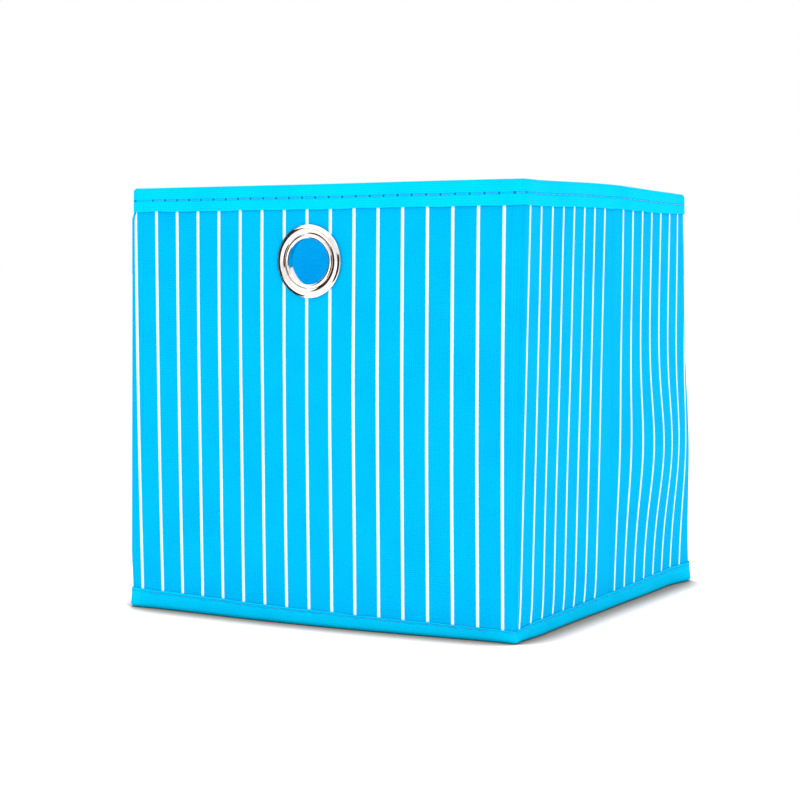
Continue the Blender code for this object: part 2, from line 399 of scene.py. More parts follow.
def stations_of(piece, step, flat_only=False):
    """Stations of each panel's flat stretch and of each bending strip."""

    def minus(edge):
        return lambda depth: -edge(depth)

    if piece in CORNER_WALLS:
        return corner_stations(CORNER_WALLS[piece])
    wall = piece.split("_")[0]
    if piece.endswith("crease"):
        return wall_stations(wall, minus(crease_edge), crease_edge, min(step, 1.0 * MM))
    left = crease_edge if piece in ("right_rear", "left_front") else minus(corner_edge)
    right = minus(crease_edge) if piece in ("right_front", "left_rear") else corner_edge
    flat = wall_stations(wall, left, right, step)
    if piece == "back" and not flat_only:
        return corner_stations("right", 0.5, 1.0)[:-1] + flat
    if piece == "right_rear" and not flat_only:
        return flat + corner_stations("right", 0.0, 0.5)[1:]
    return flat


CORNER_WALLS = {"front_right_corner": "front", "rear_left_corner": "back", "front_left_corner": "left"}
PANELS = ("front", "right_front", "right_rear", "back", "left_rear", "left_front")
STRIPS = {
    "front_left_corner": ("front", "left_front", "fold"),
    "front_right_corner": ("front", "right_front", "right_front_corner"),
    "rear_left_corner": ("left_rear", "back", "back_left_corner"),
    "left_crease": ("left_front", "left_rear", "left_crease"),
    "right_crease": ("right_front", "right_rear", "right_crease"),
}


def new_object(name, mesh):
    obj = bpy.data.objects.new(name, mesh)
    bpy.context.scene.collection.objects.link(obj)
    return obj


def mesh_from(name, bm):
    mesh = bpy.data.meshes.new(name)
    bm.to_mesh(mesh)
    bm.free()
    return mesh


def add_mesh(name, points, faces, uv_layers=()):
    mesh = bpy.data.meshes.new(name)
    mesh.from_pydata([tuple(point) for point in points], [], [tuple(face) for face in faces])
    for layer_name, values in uv_layers:
        layer = mesh.uv_layers.new(name=layer_name)
        vertices = np.empty(len(mesh.loops), np.int32)
        mesh.loops.foreach_get("vertex_index", vertices)
        layer.data.foreach_set("uv", np.asarray(values, np.float32)[vertices].ravel())
    mesh.shade_smooth()
    mesh.set_sharp_from_angle(angle=math.radians(50))
    return new_object(name, mesh)


def weld(obj):
    """Joins points that lie in the same place, which also drops the faces between them."""
    bm = bmesh.new()
    bm.from_mesh(obj.data)
    bmesh.ops.remove_doubles(bm, verts=bm.verts, dist=0.001 * MM)
    bmesh.ops.recalc_face_normals(bm, faces=bm.faces)
    bm.to_mesh(obj.data)
    bm.free()


def path_lengths(profile):
    steps = np.linalg.norm(np.diff(profile, axis=0), axis=1)
    return np.concatenate([[0.0], np.cumsum(steps)])


def groove(piece, along, depths, layer):
    """How far a crease line pulls a layer towards the wall's middle, at each depth."""
    if not piece.endswith("crease") or layer == "board":
        return 0.0 * depths
    if layer == "cover":
        return COVER_GROOVE * math.exp(-((along / COVER_GROOVE_WIDTH) ** 2)) + 0.0 * depths
    pull = LINING_GROOVE * math.exp(-((along / LINING_GROOVE_WIDTH) ** 2))
    if layer == "lining":
        return -pull + 0.0 * depths
    return -pull * fade(depths, 3.0 * MM, 5.0 * MM)


def shell_faces(front, back):
    """Faces of a closed shell between two grids of point numbers."""
    count, high = front.shape
    faces = []
    for i in range(count - 1):
        for j in range(high - 1):
            faces.append((front[i, j], front[i + 1, j], front[i + 1, j + 1], front[i, j + 1]))
            faces.append((back[i, j], back[i, j + 1], back[i + 1, j + 1], back[i + 1, j]))
        faces.append((back[i, 0], back[i + 1, 0], front[i + 1, 0], front[i, 0]))
        faces.append((front[i, -1], front[i + 1, -1], back[i + 1, -1], back[i, -1]))
    for j in range(high - 1):
        faces.append((front[0, j], front[0, j + 1], back[0, j + 1], back[0, j]))
        faces.append((front[-1, j + 1], front[-1, j], back[-1, j], back[-1, j + 1]))
    return faces


def tape_reach(running, top):
    """How far a tape reaches from the top or bottom edge, at a place along the walls."""
    places = TOP_TAPE_REACH if top else BOTTOM_TAPE_REACH
    uneven = sum(math.sin(running * rate + start) for rate, start in UNEVEN_WAVES)
    reach = float(np.interp(running, list(places), list(places.values()), period=8 * HALF))
    return reach + UNEVEN_TAPE * uneven / 3


def tape_height(height, running, top):
    """Stretches a height on a tape's plain profile to the tape's reach at this place."""
    edge = HEIGHT if top else 0.0
    plain = abs((TOP_TAPE_LOW if top else BOTTOM_TAPE_HIGH) - edge)
    rounding = TAPE_ROUNDING[top]
    away = np.abs(np.asarray(height) - edge)
    beyond = np.maximum(away - rounding, 0.0) * (tape_reach(running, top) - rounding) / (plain - rounding)
    away = np.minimum(away, rounding) + beyond
    return edge - away if top else away


def cloth(name, piece, outer, inner, step, layer, uv_start=0.0):
    """A closed sheet swept along a piece's stations from two profiles of (depth, height)."""
    outer, inner = np.array(outer), np.array(inner)
    stations = stations_of(piece, step, flat_only=layer == "board")
    lengths = path_lengths(outer) + uv_start
    sides = []
    uvs = []
    for profile in (outer, inner):
        rows = []
        for place, running, _ in stations:
            local = running - (WALLS.index(piece.split("_")[0]) * 2 * HALF if "crease" in piece else 0)
            depth = profile[:, 0] + groove(piece, local, profile[:, 0], layer)
            x, y = place(depth)
            x, y = np.broadcast_to(x, depth.shape), np.broadcast_to(y, depth.shape)
            height = profile[:, 1]
            if layer in ("top tape", "bottom tape"):
                height = tape_height(height, running, layer == "top tape")
            rows.append(softened(x, y, height, layer == "cover"))
            uvs.append(np.stack([np.full(len(lengths), running), lengths], axis=-1))
        sides.append(np.stack(rows))
    points = np.concatenate([side.reshape(-1, 3) for side in sides])
    count, high = sides[0].shape[:2]
    front = np.arange(count * high).reshape(count, high)
    back = front + count * high
    faces = shell_faces(front, back)
    layers = [("Cloth", np.concatenate(uvs))]
    if layer == "cover":
        layers.append(("Stripes", stripe_values(piece, points, stations, high)))
    obj = add_mesh(name, points, faces, layers)
    # The planned cut: along the profile, and along the wall before it bows or leans.
    obj["flat_width"] = float(lengths[-1] - lengths[0])
    obj["flat_length"] = float(stations[-1][1] - stations[0][1])
    return obj


def stripe_values(piece, points, stations, high):
    """For each point: its stripe number plus a half, and how far inside the striped zone it is."""
    x, y, z = points.T
    share = z / HEIGHT
    pitch = FRONT_PITCH[0] + (FRONT_PITCH[1] - FRONT_PITCH[0]) * share
    last = FRONT_LAST_STRIPE - 0.9 * MM * np.sin(math.pi * share) - 0.2 * MM * (1 - share)
    front = FRONT_STRIPES - 0.5 - (last - x) / pitch
    back = FRONT_STRIPES / 2 + x / np.mean(FRONT_PITCH)
    slant = SLANT_TURN * lean_at(y, z)
    hook = HOOK * np.exp(-np.maximum(z - BOTTOM_TAPE_HIGH, 0.0) / HOOK_HEIGHT)
    fore = y + slant + SIDE_SLANT * (1 - share) + hook
    aft = y + slant + SIDE_SLANT * (1 - share) ** 1.5
    side_front = (fore - SIDE_FRONT_FIRST) / SIDE_FRONT_PITCH + 0.5
    side_rear = (aft - SIDE_REAR_FIRST) / SIDE_REAR_PITCH + 0.5
    on_face = np.abs(y) > np.abs(x)
    number = np.where(on_face, np.where(y < 0, front, back), np.where(y < 0, side_front, side_rear))
    count = np.where(on_face, FRONT_STRIPES, SIDE_STRIPES)
    room = np.minimum(number, count - number)
    turning = np.repeat([station[2] for station in stations], high)
    room = np.where(np.concatenate([turning, turning]), -1.0, room)
    return np.stack([number, room], axis=-1)


def flat_profiles(depths, low, high, step):
    heights = np.linspace(low, high, max(2, round((high - low) / step)) + 1)
    return [[(depth, height) for height in heights] for depth in depths]


def arc(centre, radius, start, end, steps):
    """Points of (depth, height) on an arc, with angles in degrees from +depth towards +height."""
    angles = np.radians(np.linspace(start, end, steps + 1))
    return [(centre[0] + radius * math.cos(a), centre[1] + radius * math.sin(a)) for a in angles]


def tape_profiles(top):
    """Outer and inner side of a binding tape folded over the wall's top or bottom edge."""
    rounding = TAPE_ROUNDING[top]
    turn = 1.0 if top else -1.0
    fold = HEIGHT if top else 0.0
    end = TOP_TAPE_LOW if top else BOTTOM_TAPE_HIGH
    sides = []
    for inset in (0.0, TAPE_THICKNESS):
        radius = rounding - inset
        near = (rounding, fold - turn * rounding)
        far = (WALL_THICKNESS - rounding, fold - turn * rounding)
        outside = [(inset, height) for height in np.linspace(end, near[1], 9)[:-1]]
        inside = [(WALL_THICKNESS - inset, height) for height in np.linspace(far[1], end, 9)[1:]]
        if top:
            sides.append(outside + arc(near, radius, 180, 90, 6) + arc(far, radius, 90, 0, 6) + inside)
        else:
            bend = arc(near, radius, 180, 270, 6) + arc(far, radius, 270, 360, 6)
            sides.append((outside + bend + inside)[::-1])
    return sides


# ---- materials


class Nodes:
    """Short calls for building one material's node tree."""

    def __init__(self, name):
        self.material = bpy.data.materials.new(name)
        self.material.use_nodes = True
        self.tree = self.material.node_tree
        self.shader = self.tree.nodes["Principled BSDF"]

    def add(self, kind, **settings):
        node = self.tree.nodes.new(kind)
        for key, value in settings.items():
            setattr(node, key, value)
        return node

    def link(self, source, target):
        self.tree.links.new(source, target)

    def math(self, operation, *values):
        node = self.add("ShaderNodeMath", operation=operation)
        for socket, value in zip(node.inputs, values):
            if isinstance(value, (int, float)):
                socket.default_value = value
            else:
                self.link(value, socket)
        return node.outputs[0]

    def ramp(self, value, start, end):
        node = self.add("ShaderNodeMapRange", interpolation_type="SMOOTHSTEP")
        self.link(value, node.inputs["Value"])
        node.inputs["From Min"].default_value = start
        node.inputs["From Max"].default_value = end
        return node.outputs[0]

    def distance(self, first, second):
        squares = [self.math("POWER", value, 2.0) for value in (first, second)]
        return self.math("SQRT", self.math("ADD", *squares))

    def roughness(self, value, low, high):
        node = self.add("ShaderNodeMapRange")
        self.link(value, node.inputs["Value"])
        node.inputs["To Min"].default_value = low
        node.inputs["To Max"].default_value = high
        self.link(node.outputs[0], self.shader.inputs["Roughness"])

    def noise(self, vector, scale, detail=3.0):
        node = self.add("ShaderNodeTexNoise")
        node.inputs["Scale"].default_value = scale
        node.inputs["Detail"].default_value = detail
        self.link(vector, node.inputs["Vector"])
        return node.outputs["Fac"]

    def mix(self, factor, first, second):
        node = self.add("ShaderNodeMix", data_type="RGBA")
        sockets = (node.inputs[0], node.inputs[6], node.inputs[7])
        for socket, value in zip(sockets, (factor, first, second)):
            if isinstance(value, (int, float, tuple)):
                socket.default_value = value
            else:
                self.link(value, socket)
        return node.outputs[2]

    def uv(self, name):
        node = self.add("ShaderNodeUVMap", uv_map=name)
        split = self.add("ShaderNodeSeparateXYZ")
        self.link(node.outputs[0], split.inputs[0])
        return node.outputs[0], split.outputs[0], split.outputs[1]

    def bump(self, height, distance, strength):
        node = self.add("ShaderNodeBump")
        node.inputs["Distance"].default_value = distance
        node.inputs["Strength"].default_value = strength
        self.link(height, node.inputs["Height"])
        self.link(node.outputs[0], self.shader.inputs["Normal"])


def cloth_material(name, color, pit_color, striped=False, rows=None, pricks=0.0):
    """Embossed non-woven cloth: a fine diamond lattice of pits over a fibrous ground."""
    n = Nodes(name)
    vector, along, upward = n.uv("Cloth")
    lattice = 2 * math.pi / (EMBOSS_PITCH * math.sqrt(2))
    across = n.math("SINE", n.math("MULTIPLY", n.math("ADD", along, upward), lattice))
    other = n.math("SINE", n.math("MULTIPLY", n.math("SUBTRACT", along, upward), lattice))
    pits = n.ramp(n.math("MULTIPLY", across, other), 0.15, 0.9)
    fibres = n.noise(vector, 900.0, 4.0)
    cloud = n.noise(vector, 28.0, 2.0)
    tone = n.math("MULTIPLY", pits, n.ramp(fibres, 0.30, 0.72))
    body = n.mix(n.math("MULTIPLY", tone, 0.75), color, pit_color)
    body = n.mix(n.math("MULTIPLY", n.ramp(cloud, 0.35, 0.75), 0.22), body, pit_color)
    height = n.math("SUBTRACT", n.math("MULTIPLY", fibres, 0.45), n.math("MULTIPLY", pits, 0.8))
    if striped:
        _, number, room = n.uv("Stripes")
        wander = n.math("MULTIPLY", n.math("SUBTRACT", n.noise(vector, 420.0), 0.5), 0.02)
        offset = n.math("ABSOLUTE", n.math("SUBTRACT", n.math("FRACT", number), 0.5))
        offset = n.math("ADD", offset, wander)
        edge = STRIPE_WIDTH / np.mean(FRONT_PITCH) / 2
        inside = n.math("SUBTRACT", 1.0, n.ramp(offset, edge - 0.006, edge + 0.006))
        stripe = n.math("MULTIPLY", inside, n.math("GREATER_THAN", room, 0.0))
        white = n.mix(n.math("MULTIPLY", tone, 0.35), STRIPE_WHITE, STRIPE_PIT)
        body = n.mix(stripe, body, white)
    if rows is not None:
        part = n.math("DIVIDE", along, STITCH)
        nearest = n.math("SUBTRACT", n.math("FRACT", n.math("ADD", part, 0.5)), 0.5)
        dx = n.math("MULTIPLY", nearest, STITCH)
        dz = n.math("MINIMUM", *[n.math("ABSOLUTE", n.math("SUBTRACT", upward, row)) for row in rows])
        away = n.distance(dx, dz)
        hole = n.math("SUBTRACT", 1.0, n.ramp(away, 0.35 * MM, 0.95 * MM))
        line = n.math("SUBTRACT", 1.0, n.ramp(dz, 0.25 * MM, 0.9 * MM))
        # Painted shade along each stitch row's groove and in each needle hole, over their dents.
        body = n.mix(n.math("MULTIPLY", line, 0.45), body, pit_color)
        body = n.mix(n.math("MULTIPLY", hole, pricks), body, NEEDLE_HOLE_SHADE)
        height = n.math("SUBTRACT", height, n.math("MULTIPLY", line, 1.0))
        height = n.math("SUBTRACT", height, n.math("MULTIPLY", hole, 2.5 * pricks))
    n.link(body, n.shader.inputs["Base Color"])
    n.roughness(fibres, 0.62, 0.86)
    n.shader.inputs["Specular IOR Level"].default_value = 0.008
    n.bump(height, 0.22 * MM, 0.9)
    return n.material


def metal_material():
    """Bright nickel plate with a faint warm tone; painted shade darkens its groove and the inside of its
    barrel.
    """
    n = Nodes("nickel plate")
    place = n.add("ShaderNodeTexCoord").outputs["Object"]
    haze = n.noise(place, 260.0, 4.0)
    fine = n.noise(place, 2400.0, 2.0)
    tone = n.mix(n.ramp(haze, 0.35, 0.8), NICKEL, NICKEL_HAZE)
    split = n.add("ShaderNodeSeparateXYZ")
    n.link(place, split.inputs[0])
    across = n.math("SUBTRACT", split.outputs["X"], EYELET_X)
    upward = n.math("SUBTRACT", split.outputs["Z"], EYELET_Z)
    # Painted shade: a dark ring along the groove between the dome and the inner bead.
    off = n.math("ABSOLUTE", n.math("SUBTRACT", n.distance(across, upward), GROOVE_RADIUS))
    groove_shade_share = n.math("SUBTRACT", 1.0, n.ramp(off, 0.06 * MM, 0.36 * MM))
    tone = n.mix(n.math("MULTIPLY", groove_shade_share, 0.7), tone, NICKEL_GROOVE_SHADE)
    # Painted shade deep inside the barrel.
    barrel_shade_share = n.ramp(split.outputs["Y"], RING_FRONT - HALF + 3.2 * MM, RING_FRONT - HALF + 4.0 * MM)
    tone = n.mix(n.math("MULTIPLY", barrel_shade_share, 0.75), tone, NICKEL_BARREL_SHADE)
    n.link(tone, n.shader.inputs["Base Color"])
    n.shader.inputs["Metallic"].default_value = 1.0
    n.roughness(haze, 0.05, 0.13)
    n.bump(fine, 0.02 * MM, 0.15)
    return n.material


def board_material():
    """Grey recycled board with flecks."""
    n = Nodes("grey board")
    place = n.add("ShaderNodeTexCoord").outputs["Object"]
    flecks = n.noise(place, 700.0, 5.0)
    cloud = n.noise(place, 60.0, 3.0)
    tone = n.mix(n.ramp(flecks, 0.35, 0.7), BOARD_DARK, BOARD_LIGHT)
    tone = n.mix(n.math("MULTIPLY", cloud, 0.4), tone, BOARD_CLOUD)
    n.link(tone, n.shader.inputs["Base Color"])
    n.shader.inputs["Roughness"].default_value = 0.92
    n.bump(flecks, 0.15 * MM, 0.5)
    return n.material


def thread_material():
    """Twisted polyester thread."""
    n = Nodes("blue thread")
    _, along, _ = n.uv("Cloth")
    twist = n.math("SINE", n.math("MULTIPLY", along, 2 * math.pi / (0.9 * MM)))
    tone = n.mix(n.ramp(twist, -0.6, 0.8), THREAD_DARK, THREAD_LIGHT)
    n.link(tone, n.shader.inputs["Base Color"])
    n.shader.inputs["Roughness"].default_value = 0.45
    n.bump(twist, 0.05 * MM, 0.5)
    return n.material


# ---- pieces of the walls


def attach(obj, piece):
    """Rides a panel's piece on its body; a strip's piece only has its placement baked into its mesh."""
    if piece in PANELS:
        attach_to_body(obj, piece)
        return
    first, second, joint = STRIPS[piece]
    x, y, _ = JOINTS[joint]["pos_m"]
    if piece.endswith("crease"):
        way = Vector((0.0, CREASE_BEND, 0.0))
    else:
        way = Vector((-math.copysign(1.0, x), math.copysign(1.0, y), 0.0)).normalized() * CORNER_BEND
        if y < 0:
            way = -way
        if piece == "rear_left_corner":
            way = Vector((1.0, 1.0, 0.0)).normalized() * CORNER_BEND
    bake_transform(obj)


def cut_hole(obj, radius):
    """A round hole through a front layer, on the eyelet's axis."""
    bm = bmesh.new()
    turn = Matrix.Translation((EYELET_X, -HALF, EYELET_Z)) @ Matrix.Rotation(math.pi / 2, 4, "X")
    bmesh.ops.create_cone(
        bm, cap_ends=True, segments=64, radius1=radius, radius2=radius, depth=60 * MM, matrix=turn
    )
    cutter = new_object("hole", mesh_from("hole", bm))
    boolean = obj.modifiers.new("Hole", "BOOLEAN")
    boolean.operation = "DIFFERENCE"
    boolean.solver = "EXACT"
    boolean.object = cutter
    graph = bpy.context.evaluated_depsgraph_get()
    cut = bpy.data.meshes.new_from_object(obj.evaluated_get(graph))
    obj.modifiers.clear()
    obj.data = cut
    bpy.data.objects.remove(cutter)


def add_layer(piece, layer, material):
    depths = {"cover": COVER_DEPTHS, "lining": LINING_DEPTHS, "board": BOARD_DEPTHS}[layer]
    low, high = (BOARD_LOW, BOARD_HIGH) if layer == "board" else (CLOTH_LOW, CLOTH_TOP)
    step = 12 * MM if layer == "board" else 4 * MM
    outer, inner = flat_profiles(depths, low, high, step)
    name = f"{piece}_board_sheet" if layer == "board" else f"{piece}_{layer}_cloth"
    obj = cloth(name, piece, outer, inner, step, layer, uv_start=low)
    obj.data.materials.append(material)
    if piece == "front":
        cut_hole(obj, FABRIC_HOLE)
    attach(obj, piece)
    if piece in PANELS:
        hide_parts(f"{piece}_{layer}")


def add_tape(piece, top, material):
    outer, inner = tape_profiles(top)
    place = "top" if top else "bottom"
    obj = cloth(f"{piece}_{place}_tape", piece, outer, inner, 3.2 * MM, f"{place} tape")
    obj.data.materials.append(material)
    attach(obj, piece)
    if piece in PANELS:
        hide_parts(f"{piece}_{place}_binding")


def add_stitches(piece, top, material):
    """Long stitches along a tape, one thread outside and one inside the wall."""
    name = f"{piece}_top_stitches" if top else f"{piece}_bottom_stitches"
    row = TOP_STITCH_HEIGHT if top else BOTTOM_STITCH_HEIGHT
    stations = stations_of(piece, 1.2 * MM)
    running = np.array([station[1] for station in stations])
    base_running = WALLS.index(piece.split("_")[0]) * 2 * HALF if piece.endswith("crease") else 0.0
    points, faces, uvs = [], [], []
    first = math.ceil(running[0] / STITCH)
    last = math.floor(running[-1] / STITCH)
    sides = THREAD_SIDES
    up = np.array((0.0, 0.0, 1.0))
    for index in range(first, last):
        ends = index * STITCH + STITCH_GAP / 2, (index + 1) * STITCH - STITCH_GAP / 2
        for inside in (False, True):
            rings = []
            for share in np.linspace(0.0, 1.0, 9):
                along = ends[0] + (ends[1] - ends[0]) * share
                dip = STITCH_DIP * (2 * share - 1) ** 6 - STITCH_RISE
                depth = WALL_THICKNESS - dip if inside else dip
                at = min(max(np.searchsorted(running, along), 1), len(running) - 1)
                mix = (along - running[at - 1]) / (running[at] - running[at - 1])
                depth_row = np.array([depth])
                depth_row = depth_row + groove(piece, along - base_running, depth_row, "tape")
                ends_xy = [np.array(stations[k][0](depth_row), float).reshape(2) for k in (at - 1, at)]
                x, y = ends_xy[0] * (1 - mix) + ends_xy[1] * mix
                height = tape_height(row, along, top)
                rings.append((softened(x, y, height).reshape(3), along))
            base = len(points)
            for k, (centre, along) in enumerate(rings):
                ahead = rings[min(k + 1, len(rings) - 1)][0] - rings[max(k - 1, 0)][0]
                ahead = ahead / np.linalg.norm(ahead)
                side = np.cross(ahead, up)
                for s in range(sides):
                    angle = 2 * math.pi * s / sides
                    points.append(centre + THREAD * (math.cos(angle) * side + math.sin(angle) * up))
                    uvs.append((along, row + THREAD * angle))
            for k in range(len(rings) - 1):
                for s in range(sides):
                    a, b = base + k * sides + s, base + k * sides + (s + 1) % sides
                    faces.append((a, b, b + sides, a + sides))
            faces.append(tuple(base + s for s in range(sides))[::-1])
            final = base + (len(rings) - 1) * sides
            faces.append(tuple(final + s for s in range(sides)))
    if not points:
        return
    obj = add_mesh(name, points, faces, [("Cloth", uvs)])
    obj.data.materials.append(material)
    attach(obj, piece)


def add_walls(materials):
    for piece in [*PANELS, *STRIPS]:
        add_layer(piece, "cover", materials["cover"])
        add_layer(piece, "lining", materials["lining"])
        if piece in PANELS:
            add_layer(piece, "board", materials["board"])
        for top in (True, False):
            upper = "top_tape" if piece.startswith("front") else "side_tape"
            add_tape(piece, top, materials[upper if top else "bottom_tape"])
            add_stitches(piece, top, materials["thread"])


def add_corner_sleeve(material):
    """Cloth inside the rear right corner, which shows only once the corner opens in folding."""
    centre = np.array(JOINTS["back_left_corner"]["pos_m"][:2]) * (-1.0, 1.0)
    heights = np.linspace(CLOTH_LOW, HEIGHT - 1.2 * MM, 60)
    angles = np.radians(np.linspace(-55, 60, 24))
    sides = []
    uvs = []
    for radius in SLEEVE_RADII:
        x = centre[0] + radius * np.cos(angles)[:, None] + 0.0 * heights
        y = centre[1] + radius * np.sin(angles)[:, None] + 0.0 * heights
        z = np.broadcast_to(heights, x.shape)
        sides.append(softened(x, y, z).reshape(-1, 3))
        around = radius * angles[:, None] + 0.0 * heights
        uvs.append(np.stack([around.ravel(), z.ravel()], axis=-1))
    points = np.concatenate(sides)
    outer = np.arange(len(angles) * len(heights)).reshape(len(angles), len(heights))
    inner = outer + outer.size
    layers = [("Cloth", np.concatenate(uvs))]
    obj = add_mesh("rear_right_sleeve", points, shell_faces(outer, inner), layers)
    obj.data.materials.append(material)
    obj["flat_width"] = float(heights[-1] - heights[0])
    obj["flat_length"] = float(sum(SLEEVE_RADII) / 2 * (angles[-1] - angles[0]))
    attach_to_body(obj, "back")


# ---- eyelet


def turned(name, profile, material):
    """A ring turned about the eyelet's axis from a closed outline of (radius, depth)."""
    steps = 96
    centre_y = softened(EYELET_X, -HALF, EYELET_Z).reshape(3)[1] + HALF
    points, faces = [], []
    for i in range(steps):
        angle = 2 * math.pi * i / steps
        for radius, depth in profile:
            x = EYELET_X + radius * math.cos(angle)
            z = EYELET_Z + radius * math.sin(angle)
            points.append((x, -HALF + depth + centre_y, z))
    count = len(profile)
    for i in range(steps):
        near, far = i * count, (i + 1) % steps * count
        for j in range(count):
            k = (j + 1) % count
            faces.append((near + j, near + k, far + k, far + j))
    obj = add_mesh(name, points, faces)
    obj.data.materials.append(material)
    weld(obj)
    return obj


def ring_outline():
    """Thin outer rim, a low rounded dome, a step, the inner bead and the barrel through the cloth."""
    rim = COVER_DEPTHS[0] - 0.25 * MM
    face = RING_FRONT + DOME_RISE
    outline = [(RING_RADIUS - 0.3 * MM, rim), (RING_RADIUS, rim - 0.3 * MM)]
    outline += [(RING_RADIUS, face + 0.2 * MM), (RING_RADIUS - 0.2 * MM, face)]
    for inner, outer, height, steps in (
        (GROOVE_RADIUS, RING_RADIUS - 0.5 * MM, DOME_RISE, 16),
        (HOLE_RADIUS, GROOVE_RADIUS - 0.1 * MM, 0.5 * DOME_RISE, 10),
    ):
        middle, half = (inner + outer) / 2, (outer - inner) / 2
        slope = 2 * math.atan(height / half)
        radius = half / math.sin(slope)
        for angle in np.linspace(slope, -slope, steps):
            crown = radius * (math.cos(angle) - math.cos(slope))
            outline.append((middle + radius * math.sin(angle), face - crown))
    lip = RING_BACK
    wide = FABRIC_HOLE - 0.25 * MM
    outline += [(HOLE_RADIUS + 0.1 * MM, face + 0.6 * MM), (wide, 2.8 * MM), (wide, lip - 0.9 * MM)]
    for angle in np.radians(np.linspace(150, 0, 7)):
        depth = lip - 0.5 * MM + 0.5 * MM * math.sin(angle)
        outline.append((wide + LIP_RADIUS + LIP_RADIUS * math.cos(angle), depth))
    barrel = FABRIC_HOLE - 0.05 * MM
    outline += [(wide + 2.6 * MM, lip - 0.6 * MM), (barrel + 0.3 * MM, lip - 0.65 * MM)]
    outline += [(barrel, lip - 1.0 * MM), (barrel, 2.9 * MM), (HOLE_RADIUS + 0.5 * MM, rim)]
    return outline


def washer_outline():
    near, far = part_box("eyelet_washer")
    low, high = near.y + HALF, far.y + HALF
    reach = (far.x - near.x) / 2
    middle = (low + high) / 2
    half = (high - low) / 2
    outline = []
    for angle in np.radians(np.linspace(-90, 90, 7)):
        outline.append((reach - half + half * math.cos(angle), middle + half * math.sin(angle)))
    outline += [(FABRIC_HOLE + 3.0 * MM, high), (FABRIC_HOLE + 2.4 * MM, high - 0.15 * MM)]
    outline += [(FABRIC_HOLE, high - 0.15 * MM), (FABRIC_HOLE, low), (FABRIC_HOLE + 2.0 * MM, low)]
    return outline


def add_eyelet(material):
    for name, node, outline in (
        ("eyelet_face_ring", "eyelet_ring", ring_outline()),
        ("eyelet_back_washer", "eyelet_washer", washer_outline()),
    ):
        obj = turned(name, outline, material)
        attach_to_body(obj, "front")
        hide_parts(node)


# ---- base and insert


def add_base(material):
    """The thin base fabric, turned up along the walls; it rides on the front wall's body."""
    low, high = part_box("base_fabric")
    thickness = high.z - low.z
    flat = np.linspace(-1.0, 1.0, BASE_CELLS + 1)
    ends = np.ones(len(BASE_RISES))
    ticks = np.concatenate([-ends, flat, ends])
    rise = np.concatenate([BASE_RISES, 0.0 * flat, BASE_RISES[::-1]])
    edge = HALF - WALL_THICKNESS - 0.1 * MM
    up = np.maximum(rise[:, None], rise[None, :])
    grids, uvs = [], []
    for z, reach in ((low.z, edge), (high.z, edge - thickness)):
        x, y = np.meshgrid(ticks * reach, ticks * reach, indexing="ij")
        grids.append(softened(x, y, z + up).reshape(-1, 3))
        uvs.append(np.stack([(x + np.sign(x) * up).ravel(), (y + np.sign(y) * up).ravel()], axis=-1))
        grids[-1][:, 2] = (z + up).ravel()
    points = np.concatenate(grids)
    under = np.arange(up.size).reshape(up.shape)
    faces = shell_faces(under + under.size, under)
    obj = add_mesh("base_cloth", points, faces, [("Cloth", np.concatenate(uvs))])
    weld(obj)
    obj.data.materials.append(material)
    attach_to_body(obj, "front")
    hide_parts("base_fabric")
    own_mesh(obj)


def rounded_slab(name, half_x, half_y, low, high, rounding, open_under=False):
    """A thin slab with rounded edges and corners, with planar cloth coordinates."""
    bm = bmesh.new()
    bmesh.ops.create_cube(bm, size=1.0)
    bmesh.ops.scale(bm, verts=bm.verts, vec=(2 * half_x, 2 * half_y, high - low))
    bmesh.ops.translate(bm, verts=bm.verts, vec=(0, 0, (low + high) / 2))
    upright = [edge for edge in bm.edges if abs(edge.verts[0].co.z - edge.verts[1].co.z) > 1e-5]
    bmesh.ops.bevel(bm, geom=upright, offset=INSERT_CORNER, segments=6, profile=0.5, affect="EDGES")
    flat = [edge for edge in bm.edges if abs(edge.verts[0].co.z - edge.verts[1].co.z) < 1e-7]
    bmesh.ops.bevel(bm, geom=flat, offset=rounding, segments=4, profile=0.5, affect="EDGES")
    if open_under:
        under = min(bm.faces, key=lambda face: face.calc_center_median().z)
        bmesh.ops.delete(bm, geom=[under], context="FACES_ONLY")
    return finish_slab(name, bm)


def finish_slab(name, bm):
    layer = bm.loops.layers.uv.new("Cloth")
    for face in bm.faces:
        for loop in face.loops:
            x, y, z = loop.vert.co
            loop[layer].uv = (x + z, y + z)
    mesh = mesh_from(name, bm)
    mesh.shade_smooth()
    mesh.set_sharp_from_angle(angle=math.radians(40))
    return new_object(name, mesh)


def turn_ins(half_x, half_y, low, width, thickness):
    """The wrap's four edges, turned under the board and mitred where they meet."""
    bm = bmesh.new()
    gap = 0.25 * MM
    for turn in range(4):
        along, across = (half_x, half_y) if turn % 2 == 0 else (half_y, half_x)
        outline = [
            (-along + gap, -across),
            (along - gap, -across),
            (along - gap - width, -across + width),
            (-along + gap + width, -across + width),
        ]
        corners = [bm.verts.new((x, y, low)) for x, y in outline]
        under = bm.faces.new(corners)
        raised = bmesh.ops.extrude_face_region(bm, geom=[under])["geom"]
        moved = [item for item in raised if isinstance(item, bmesh.types.BMVert)]
        bmesh.ops.translate(bm, verts=moved, vec=(0, 0, thickness))
        matrix = Matrix.Rotation(turn * math.pi / 2, 4, "Z")
        bmesh.ops.transform(bm, matrix=matrix, verts=corners + moved)
    bmesh.ops.recalc_face_normals(bm, faces=bm.faces)
    long_edges = [edge for edge in bm.edges if edge.calc_length() > 2 * thickness]
    bmesh.ops.bevel(bm, geom=long_edges, offset=0.12 * MM, segments=2, profile=0.5, affect="EDGES")
    return finish_slab("insert_turn_ins", bm)


